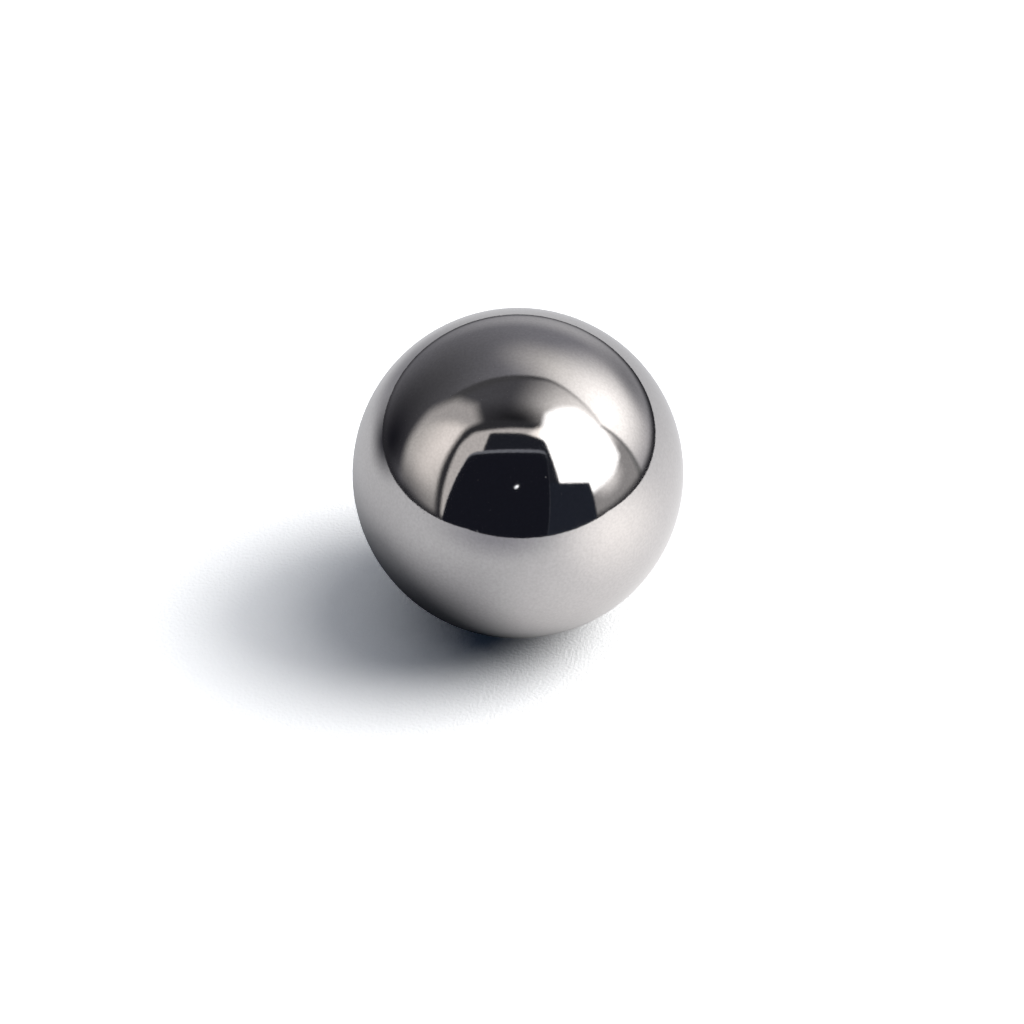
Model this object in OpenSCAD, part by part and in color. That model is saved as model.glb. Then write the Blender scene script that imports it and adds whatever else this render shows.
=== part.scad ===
// Polished steel ball: one solid piece, ground and lapped to a true sphere.
// The origin is the ball's centre, with +Z up.

/* [Ball] */
// Diameter of the ball, which a sphere has in every direction
ball_d = 25.4; // [1:0.1:100]

/* [Hidden] */

// Segments round the ball wherever it is drawn as a mesh
ball_segments = 120;

module ball() {
    color("silver")
        sphere(d = ball_d, $fn = ball_segments);
}

ball();
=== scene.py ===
import math

import bpy
from mathutils import Matrix, Quaternion, Vector


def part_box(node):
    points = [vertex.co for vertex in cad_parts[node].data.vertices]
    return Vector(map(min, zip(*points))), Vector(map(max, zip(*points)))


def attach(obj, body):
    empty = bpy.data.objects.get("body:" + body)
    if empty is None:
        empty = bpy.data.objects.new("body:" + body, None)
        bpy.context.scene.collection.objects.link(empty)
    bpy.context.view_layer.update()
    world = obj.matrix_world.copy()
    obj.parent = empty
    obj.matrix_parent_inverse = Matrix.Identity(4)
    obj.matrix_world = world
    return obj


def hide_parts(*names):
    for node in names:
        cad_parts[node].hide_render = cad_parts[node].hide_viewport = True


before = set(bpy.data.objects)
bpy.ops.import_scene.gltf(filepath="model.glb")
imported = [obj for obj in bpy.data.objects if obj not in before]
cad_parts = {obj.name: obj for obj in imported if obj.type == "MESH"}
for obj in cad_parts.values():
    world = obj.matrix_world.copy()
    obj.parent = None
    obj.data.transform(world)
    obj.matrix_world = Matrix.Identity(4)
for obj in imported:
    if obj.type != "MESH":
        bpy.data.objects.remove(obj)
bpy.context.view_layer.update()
nodeLow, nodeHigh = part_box("ball")
ballCentre = (Vector(nodeLow) + Vector(nodeHigh)) / 2
ballRadius = (nodeHigh[2] - nodeLow[2]) / 2
perRadius = [1 / ballRadius] * 3
print("frame loaded, ball radius", round(ballRadius * 1000, 3), "mm")

scene = bpy.context.scene
scene.view_settings.view_transform = "Standard"
scene.cycles.caustics_reflective = False  # no sparkle thrown on the floor by the ball


# Node helpers: each one adds a node and gives back its output.

def feed(tree, socket, value):
    if isinstance(value, bpy.types.NodeSocket):
        tree.links.new(value, socket)
    else:
        socket.default_value = value


def calc(tree, operation, *values):
    node = tree.nodes.new("ShaderNodeMath")
    node.operation = operation
    for socket, value in zip(node.inputs, values):
        feed(tree, socket, value)
    return node.outputs["Value"]


def calcVector(tree, operation, *values):
    node = tree.nodes.new("ShaderNodeVectorMath")
    node.operation = operation
    for socket, value in zip(node.inputs, values):
        feed(tree, socket, value)
    single = operation in ("DOT_PRODUCT", "LENGTH")
    return node.outputs["Value" if single else "Vector"]


def remap(tree, value, fromLow, fromHigh, toLow, toHigh, smooth=False):
    node = tree.nodes.new("ShaderNodeMapRange")
    node.interpolation_type = "SMOOTHSTEP" if smooth else "LINEAR"
    for name, number in (("Value", value), ("From Min", fromLow), ("From Max", fromHigh),
                         ("To Min", toLow), ("To Max", toHigh)):
        feed(tree, node.inputs[name], number)
    return node.outputs["Result"]


def mixColour(tree, factor, under, over):
    node = tree.nodes.new("ShaderNodeMix")
    node.data_type = "RGBA"
    feed(tree, node.inputs[0], factor)
    feed(tree, node.inputs[6], under)
    feed(tree, node.inputs[7], over)
    return node.outputs[2]


def mixValue(tree, factor, under, over):
    node = tree.nodes.new("ShaderNodeMix")
    feed(tree, node.inputs[0], factor)
    feed(tree, node.inputs[2], under)
    feed(tree, node.inputs[3], over)
    return node.outputs[0]


def redOf(tree, colour):
    node = tree.nodes.new("ShaderNodeSeparateColor")
    tree.links.new(colour, node.inputs["Color"])
    return node.outputs["Red"]


def noise(tree, place, scale, detail=2.0):
    node = tree.nodes.new("ShaderNodeTexNoise")
    feed(tree, node.inputs["Vector"], place)
    node.inputs["Scale"].default_value = scale
    node.inputs["Detail"].default_value = detail
    return node.outputs["Fac"]


def placed(tree, source, location=(0, 0, 0), rotation=(0, 0, 0), scale=(1, 1, 1), kind="POINT"):
    node = tree.nodes.new("ShaderNodeMapping")
    node.vector_type = kind
    feed(tree, node.inputs["Vector"], source)
    node.inputs["Location"].default_value = location
    node.inputs["Rotation"].default_value = rotation
    node.inputs["Scale"].default_value = scale
    return node.outputs["Vector"]


def splitRays(tree, outputKind, factor, usual, other):
    blend = tree.nodes.new("ShaderNodeMixShader")
    output = tree.nodes.new(outputKind)
    tree.links.new(factor, blend.inputs[0])
    tree.links.new(usual.outputs[0], blend.inputs[1])
    tree.links.new(other.outputs[0], blend.inputs[2])
    tree.links.new(blend.outputs[0], output.inputs["Surface"])


# Brushes: lights and cards are painted one over another on the directions round the ball.
# A direction is a bearing in degrees, from the camera's side towards the right, and a height in
# degrees above the horizon.

def outward(bearing, height):
    across, up = math.radians(bearing), math.radians(height)
    return Vector((math.sin(across) * math.cos(up), -math.cos(across) * math.cos(up), math.sin(up)))


# A card has straight sides between its corners and bulges outwards at each of them. A glow is
# a soft oval that reaches so many degrees across and up. What is "inside" a shape is painted
# on it and ends with it.

cardEdge = {"soft": 2, "round": 2}   # degrees, unless a card gives its own


def cardMask(tree, direction, card):
    edge = {**cardEdge, **card}
    half, rounding = math.radians(edge["soft"]) / 2, math.radians(edge["round"])
    corners = [outward(*corner) for corner in card["corners"]]
    middle = sum(corners, Vector((0, 0, 0)))
    outside = None
    for here, after in zip(corners, corners[1:] + corners[:1]):
        away = here.cross(after).normalized()
        if away.dot(middle) > 0:
            away.negate()
        beyond = calcVector(tree, "DOT_PRODUCT", direction, away)
        if outside is None:
            outside = beyond
        else:
            outside = calc(tree, "SMOOTH_MAX", outside, beyond, rounding)
    return remap(tree, outside, -half, half, 1, 0, smooth=True)


def glowMask(tree, direction, glow):
    facing = outward(*glow["at"])
    turned = facing.to_track_quat("Z", "Y") @ Quaternion((0, 0, 1), math.radians(glow.get("turn", 0)))
    reach = [math.radians(degrees) for degrees in glow["reach"]]
    local = placed(tree, direction, facing, turned.to_euler(), (*reach, 1), "TEXTURE")
    return remap(tree, calcVector(tree, "LENGTH", local), 0, 1, 1, 0, smooth=True)


def paint(tree, direction, colour, shapes):
    for shape in shapes:
        mask = (cardMask if "corners" in shape else glowMask)(tree, direction, shape)
        tone = paint(tree, direction, (*shape["tone"], 1), shape.get("inside", []))
        colour = mixColour(tree, mask, colour, tone)
    return colour


# The ball.

ballShape = {
    "edgeCuts": 5,       # cuts across each side of the starting cube
    "smoothLevels": 4,   # every level splits each square in four
}


def makeBall(shape):
    bpy.ops.object.select_all(action="DESELECT")
    bpy.ops.mesh.primitive_cube_add(size=2 * ballRadius, location=ballCentre)
    ball = bpy.context.object
    ball.name = "polished_ball"
    bpy.ops.object.mode_set(mode="EDIT")
    bpy.ops.mesh.select_all(action="SELECT")
    bpy.ops.mesh.subdivide(number_cuts=shape["edgeCuts"])
    bpy.ops.object.mode_set(mode="OBJECT")
    bpy.ops.object.transform_apply(location=True, rotation=True, scale=True)
    rounding = ball.modifiers.new("rounding", "SUBSURF")
    rounding.levels = rounding.render_levels = shape["smoothLevels"]
    trueSphere = ball.modifiers.new("true sphere", "CAST")
    trueSphere.factor = 1
    trueSphere.use_radius_as_size = False
    trueSphere.size = ballRadius
    for modifier in ("rounding", "true sphere"):
        bpy.ops.object.modifier_apply(modifier=modifier)
    bpy.ops.object.shade_smooth()
    return ball


steelLook = {
    "colour": (0.53, 0.513, 0.508),
    "paleColour": (0.645, 0.627, 0.622),
    "grainScale": 60,             # fine grain in the tone, to a radius
    "grainSpread": (0.3, 0.7),    # of the noise, over which it turns from one colour to the other
    "grainShare": 0.6,            # of the tone, and the patches have the rest
    "gloss": (0.035, 0.05),       # roughness from the brightest to the haziest patches
    "patchScale": 2.2,            # patches of haze to a radius
    "patchSpread": (0.35, 0.65),
    "lapScale": 70,               # the fine grain left by lapping
    "lapDepth": 0.005,
    "speckScale": 26,             # cells to a radius, a few of which hold a speck
    "speckSize": 0.16,            # of a cell
    "speckShare": 0.06,           # of the cells
    "speckHaze": 0.25,            # roughness of a speck
}


def makeSteel(look):
    steel = bpy.data.materials.new("polished steel")
    steel.use_nodes = True
    tree = steel.node_tree
    shader = tree.nodes["Principled BSDF"]
    coordinates = tree.nodes.new("ShaderNodeTexCoord")
    place = placed(tree, coordinates.outputs["Object"], scale=perRadius)

    patches = noise(tree, place, look["patchScale"], detail=4)
    haze = remap(tree, patches, *look["patchSpread"], *look["gloss"], smooth=True)
    cells = tree.nodes.new("ShaderNodeTexVoronoi")
    cells.inputs["Scale"].default_value = look["speckScale"]
    tree.links.new(place, cells.inputs["Vector"])
    chosen = calc(tree, "LESS_THAN", redOf(tree, cells.outputs["Color"]), look["speckShare"])
    near = remap(tree, cells.outputs["Distance"], look["speckSize"], look["speckSize"] / 2, 0, 1)
    speck = calc(tree, "MULTIPLY", chosen, near)
    tree.links.new(mixValue(tree, speck, haze, look["speckHaze"]), shader.inputs["Roughness"])

    grain = remap(tree, noise(tree, place, look["grainScale"]), *look["grainSpread"], 0, 1)
    shade = mixValue(tree, look["grainShare"], patches, grain)
    tone = mixColour(tree, shade, (*look["colour"], 1), (*look["paleColour"], 1))
    tree.links.new(tone, shader.inputs["Base Color"])
    shader.inputs["Metallic"].default_value = 1

    bump = tree.nodes.new("ShaderNodeBump")
    bump.inputs["Strength"].default_value = look["lapDepth"]
    bump.inputs["Distance"].default_value = ballRadius / look["lapScale"]
    tree.links.new(noise(tree, place, look["lapScale"], detail=3), bump.inputs["Height"])
    tree.links.new(bump.outputs["Normal"], shader.inputs["Normal"])
    return steel


ball = makeBall(ballShape)
ball.data.materials.append(makeSteel(steelLook))
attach(ball, "root")
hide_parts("ball")
print("ball made,", len(ball.data.polygons), "faces")


# The white sheet that the ball stands on.

sheetLook = {
    "front": 16,             # from the ball to each edge, in radii
    "back": 30,
    "left": 17,
    "right": 16,
    "turn": 15,              # degrees
    "white": 0.97,
    "cameraWhite": 1.5,      # to the camera it is a bare white
    "toothScale": 50,        # the paper's rough surface, to a radius
    "toothDepth": 0.3,
    # how the sheet looks in the metal: a dimmer tone, with painted light, painted shade and the ball's
    # painted shadow laid over it
    "mirrored": (0.68, 0.68, 0.69),   # its tone in the metal
    "light": [
        # painted light, brighter towards the window
        dict(at=(75, -40), reach=(110, 85), tone=(1.14, 1.12, 1.11)),
        dict(at=(60, -10), reach=(42, 28), tone=(1.5, 1.45, 1.4)),
        # painted shade, dimmer by the cards and towards the far corner
        dict(at=(-15, -4), reach=(50, 14), tone=(0.4, 0.4, 0.43)),
        dict(at=(-145, -3), reach=(34, 12), tone=(0.35, 0.35, 0.37)),
        dict(at=(-112, -2), reach=(30, 10), tone=(0.04, 0.04, 0.05)),
        # painted shadow, the ball's own shade
        dict(at=(-89, -57), reach=(82, 38), tone=(0.075, 0.075, 0.09)),
    ],
}


def makePaper(look):
    paper = bpy.data.materials.new("white sheet")
    paper.use_nodes = True
    tree = paper.node_tree
    tree.nodes.clear()
    coordinates = tree.nodes.new("ShaderNodeTexCoord")
    rays = tree.nodes.new("ShaderNodeLightPath")
    place = placed(tree, coordinates.outputs["Object"], scale=perRadius)

    tooth = tree.nodes.new("ShaderNodeBump")
    tooth.inputs["Strength"].default_value = look["toothDepth"]
    tooth.inputs["Distance"].default_value = ballRadius / look["toothScale"]
    tree.links.new(noise(tree, place, look["toothScale"], detail=3), tooth.inputs["Height"])
    bare = tree.nodes.new("ShaderNodeBsdfDiffuse")
    white = mixValue(tree, rays.outputs["Is Camera Ray"], look["white"], look["cameraWhite"])
    tree.links.new(white, bare.inputs["Color"])
    tree.links.new(tooth.outputs["Normal"], bare.inputs["Normal"])

    # the sheet as the metal sees it, with painted light and painted shade in its colour
    direction = calcVector(tree, "NORMALIZE", place)
    paintedLightPaper = tree.nodes.new("ShaderNodeBsdfDiffuse")
    tree.links.new(paint(tree, direction, (*look["mirrored"], 1), look["light"]), paintedLightPaper.inputs["Color"])
    splitRays(tree, "ShaderNodeOutputMaterial", rays.outputs["Is Glossy Ray"], bare, paintedLightPaper)
    return paper


def makeSheet(look):
    front, back, left, right = (look[side] for side in ("front", "back", "left", "right"))
    turn = Matrix.Rotation(math.radians(look["turn"]), 3, "Z")
    middle = Vector(((right - left) / 2, (back - front) / 2, -1))   # a radius below the ball's
    bpy.ops.object.select_all(action="DESELECT")
    bpy.ops.mesh.primitive_plane_add(size=ballRadius)
    sheet = bpy.context.object
    sheet.name = "sheet"
    sheet.location = ballCentre + turn @ middle * ballRadius
    sheet.rotation_euler = turn.to_euler()
    sheet.scale = (right + left, back + front, 1)
    bpy.ops.object.transform_apply(location=True, rotation=True, scale=True)
    sheet.data.materials.append(makePaper(look))


makeSheet(sheetLook)
print("sheet laid")


# The studio that the metal mirrors.

studioLook = {
    "walls": (0.28, 0.28, 0.31),
    "ambient": (0.02, 0.03, 0.05),    # what little light comes from all round
    "shapes": [
        # the far corner, in shade
        dict(at=(-120, 28), reach=(75, 75), tone=(0.085, 0.085, 0.093)),
        dict(at=(-108, 5), reach=(38, 32), tone=(0.015, 0.015, 0.02)),
        # light on the wall behind and on the wall beside the window, with a duller patch low down
        dict(at=(165, 6), reach=(45, 16), tone=(0.52, 0.52, 0.54)),
        dict(at=(140, 55), reach=(40, 25), tone=(0.75, 0.73, 0.71)),
        dict(at=(104, 34), reach=(48, 44), tone=(2.05, 2.0, 1.95)),
        dict(at=(138, 7), reach=(24, 16), tone=(0.3, 0.3, 0.32)),
        # the ceiling, with a dark seam where it meets the wall behind, and the window's light
        # on it, which leaves its middle dark
        dict(corners=[(92, 35), (138, 63), (180, 69), (-89, 5), (-50, -20), (50, -20)],
             soft=3, tone=(0.08, 0.08, 0.085), inside=[
            dict(at=(82, 40), reach=(48, 40), tone=(1.2, 1.16, 1.14)),
            dict(corners=[(89, 34), (138, 65), (180, 73), (-86, 5), (-50, -20), (50, -20)],
                 soft=4, tone=(0.09, 0.09, 0.1), inside=[
                dict(at=(74, 46), reach=(53, 48), tone=(1.75, 1.7, 1.65)),
                dict(at=(-8, 77), reach=(44, 17), tone=(0.02, 0.02, 0.023)),
            ]),
        ]),
        # the pale wall on the left
        dict(corners=[(-82, -8), (-97, 17), (-105, 34), (-107, 52), (-93, 64), (-62, 62), (-55, -10)],
             soft=9, tone=(0.54, 0.52, 0.51), inside=[
            dict(corners=[(-98, 8), (-98, 30), (-86, 47), (-70, 55), (-50, 52), (-50, -10), (-90, -10)],
                 soft=8, tone=(0.62, 0.6, 0.58), inside=[
                dict(at=(-73, 38), reach=(24, 45), tone=(1.2, 1.13, 1.08)),
                dict(at=(-80, -4), reach=(45, 22), tone=(0.1, 0.1, 0.11)),
            ]),
        ]),
        # the dark corner of the room, and the wall in front
        dict(corners=[(-53, -8), (-63, 26), (-70, 53), (-60, 67), (0, 76), (48, 67), (55, -10)],
             soft=5, tone=(0.04, 0.04, 0.045)),
        dict(corners=[(-50, -8), (-61, 44), (-59, 56), (-45, 64), (0, 71), (45, 63), (55, -10)],
             soft=3, tone=(0.7, 0.67, 0.65)),
        dict(at=(34, 64), reach=(13, 6), tone=(1.8, 1.7, 1.6)),
        # the wall under the window
        dict(corners=[(94, -10), (94, 20), (92, 36), (60, 40), (45, -10)],
             soft=3, tone=(0.25, 0.25, 0.25), inside=[
            dict(corners=[(89, -10), (92, 20), (90, 36), (60, 40), (45, -10)],
                 soft=3, tone=(0.4, 0.39, 0.39), inside=[
                dict(at=(68, 14), reach=(17, 12), tone=(1.2, 1.17, 1.15)),
                dict(at=(84, 37), reach=(18, 19), tone=(2.0, 1.95, 1.9)),
            ]),
        ]),
        # the window
        dict(corners=[(41, 66), (67, 71), (89, 64), (96, 53), (87, 27), (84, 18), (74, 14), (30, 10),
                      (30, 60)],
             soft=6, tone=(2.5, 2.5, 2.5)),
        # the dark table that the sheet lies on
        dict(corners=[(bearing, -1) for bearing in range(0, 360, 45)], soft=6, tone=(0.03, 0.03, 0.035)),
        # black cards, which give the metal its contrast
        dict(corners=[(-30, -10), (-42, 62), (16, 66), (35, 58), (31, -10)],
             tone=(0.02, 0.022, 0.03)),
        dict(corners=[(15, -10), (20, 32), (54, 20), (52, -10)], tone=(0.022, 0.026, 0.038)),
        # the card in front, with a pale edge, and a small glint in its middle
        dict(corners=[(-50, -10), (-48, 45), (31, 52), (18, -10)],
             soft=1, round=6, tone=(0.2, 0.21, 0.24), inside=[
            dict(corners=[(-50, -10), (-47.5, 43), (30.5, 50), (18, -10)],
                 soft=1, round=6, tone=(0.012, 0.013, 0.02)),
        ]),
        dict(at=(-1, 31), reach=(2.4, 1.4), turn=35, tone=(2.7, 2.8, 2.9)),
    ],
}


def makeStudio(look):
    world = bpy.data.worlds.new("studio")
    scene.world = world
    world.use_nodes = True
    world.cycles.sampling_method = "NONE"
    tree = world.node_tree
    tree.nodes.clear()
    coordinates = tree.nodes.new("ShaderNodeTexCoord")
    rays = tree.nodes.new("ShaderNodeLightPath")

    direction = coordinates.outputs["Generated"]
    mirrored = paint(tree, direction, (*look["walls"], 1), look["shapes"])
    plain = tree.nodes.new("ShaderNodeBackground")
    seen = mixColour(tree, rays.outputs["Is Camera Ray"], (*look["ambient"], 1), (1, 1, 1, 1))
    tree.links.new(seen, plain.inputs["Color"])
    painted = tree.nodes.new("ShaderNodeBackground")
    tree.links.new(mirrored, painted.inputs["Color"])
    splitRays(tree, "ShaderNodeOutputWorld", rays.outputs["Is Glossy Ray"], plain, painted)


makeStudio(studioLook)
print("studio painted,", len(studioLook["shapes"]), "shapes")


# The lamps. Bearing and height are in degrees, and angle is how wide a lamp looks, which
# softens its shadow.

windowLight = (1.0, 0.995, 0.985)
ceilingLight = (0.99, 1.0, 1.02)
lamps = {
    "window low": dict(bearing=98, height=38, angle=45, strength=2.05, colour=windowLight),
    "window high": dict(bearing=101, height=54, angle=55, strength=1.25, colour=windowLight),
    "overhead": dict(bearing=180, height=70, angle=105, strength=0.8, colour=ceilingLight),
}


def makeLamp(name, settings):
    light = bpy.data.lights.new(name, "SUN")
    light.energy = settings["strength"]
    light.angle = math.radians(settings["angle"])
    light.color = settings["colour"]
    lamp = bpy.data.objects.new(name, light)
    facing = outward(settings["bearing"], settings["height"])
    lamp.rotation_euler = facing.to_track_quat("Z", "Y").to_euler()
    lamp.visible_glossy = False      # the metal mirrors the painted studio instead
    scene.collection.objects.link(lamp)


for name, settings in lamps.items():
    makeLamp(name, settings)


# The camera.

view = {
    "height": 40,              # degrees above the horizon
    "distance": 15,            # radii
    "lens": 87.1,              # millimetres
    "aside": 0.036,            # how far the ball stands from the picture's middle, in radii
    "above": 0.234,
    "reach": (0.05, 1000),     # the nearest and the furthest that it sees, in radii
}


def makeCamera(settings):
    camera = bpy.data.objects.new("camera", bpy.data.cameras.new("camera"))
    camera.data.lens = settings["lens"]
    back = outward(0, settings["height"])
    camera.location = ballCentre + back * settings["distance"] * ballRadius
    turned = back.to_track_quat("Z", "Y").to_matrix()
    aim = ballCentre - (turned.col[0] * settings["aside"] + turned.col[1] * settings["above"]) * ballRadius
    camera.rotation_euler = (camera.location - aim).to_track_quat("Z", "Y").to_euler()
    nearest, furthest = settings["reach"]
    camera.data.clip_start = nearest * ballRadius
    camera.data.clip_end = furthest * ballRadius
    scene.collection.objects.link(camera)
    scene.camera = camera


makeCamera(view)
print("lamps and camera placed")
